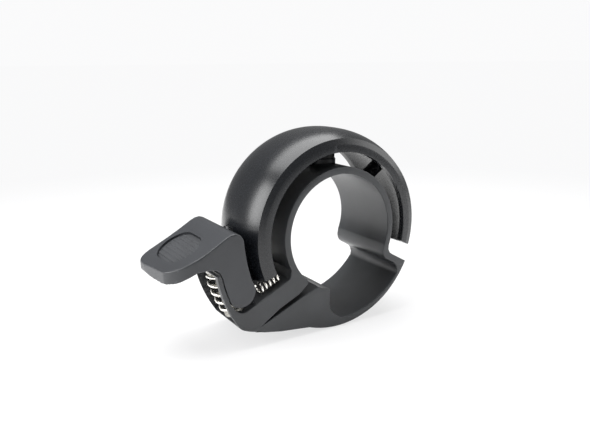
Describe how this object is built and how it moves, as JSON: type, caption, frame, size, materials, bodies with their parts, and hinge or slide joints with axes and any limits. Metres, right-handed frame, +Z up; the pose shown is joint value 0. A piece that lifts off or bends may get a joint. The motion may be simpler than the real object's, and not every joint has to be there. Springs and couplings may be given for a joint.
{
  "type": "bicycle bell",
  "caption": "Ring-shaped bicycle bell that clamps round a handlebar, with a C-section metal ringer and a sprung thumb lever that swings a hammer.",
  "frame": {"origin": "centre of the handlebar bore at mid-width", "axes": "+Y along the handlebar, from the lever's front face to the back; +Z up; the thumb pad points to -X"},
  "size_m": [0.0538, 0.016, 0.038],
  "materials": {
    "black_alloy": "satin black",
    "ringer_alloy": "satin black anodised",
    "lever_polymer": "satin black",
    "grip_rubber": "soft matt",
    "rubber": "matt",
    "steel": "bright",
    "dark_steel": "blackened",
    "brass": "turned",
    "white_polymer": "natural",
    "spring_wire": "nickel plated"
  },
  "bodies": {
    "clamp": {"clamp_body": "black_alloy", "thread_insert": "brass", "ringer": "ringer_alloy", "ringer_grommets": "rubber", "ringer_sleeves": "steel", "ringer_studs": "steel", "pivot_pin": "steel", "pin_screw": "steel", "return_spring": "spring_wire", "spring_seat": "white_polymer", "heel_springs": "spring_wire"},
    "lever": {"thumb_lever": "lever_polymer", "pad_inlay": "grip_rubber", "spring_button": "white_polymer", "pivot_bushes": "white_polymer", "hammer_bush": "white_polymer"},
    "hammer": {"hammer": "dark_steel", "hammer_clip": "steel"},
    "washer": {"clamp_washer": "steel"},
    "bolt": {"clamp_bolt": "steel"}
  },
  "joints": [
    {"name": "lever_pivot", "type": "hinge", "parent": "clamp", "child": "lever", "pos_m": [-0.0222, 0, -0.0022], "axis": [0, -1, 0], "range_deg": [0, 10], "stiffness_Nm_per_rad": 0.2, "springref_deg": -0.02, "deforming": ["return_spring", "heel_springs"]},
    {"name": "hammer_slide", "type": "slide", "parent": "lever", "child": "hammer", "axis": [1, 0, 0], "range_m": [0, 0.00045], "stiffness_N_per_m": 200, "springref_m": -0.00001},
    {"name": "bolt_travel", "type": "slide", "parent": "clamp", "child": "washer", "axis": [0.3955, 0, -0.9184], "range_m": [0, 0.001]},
    {"name": "bolt_turn", "type": "hinge", "parent": "washer", "child": "bolt", "pos_m": [-0.0098, 0, -0.0121], "axis": [0.3955, 0, -0.9184], "range_deg": [0, 725]}
  ],
  "couplings": [
    {"joint": "bolt_turn", "follows": "bolt_travel", "rad_per_m": 12566}
  ]
}
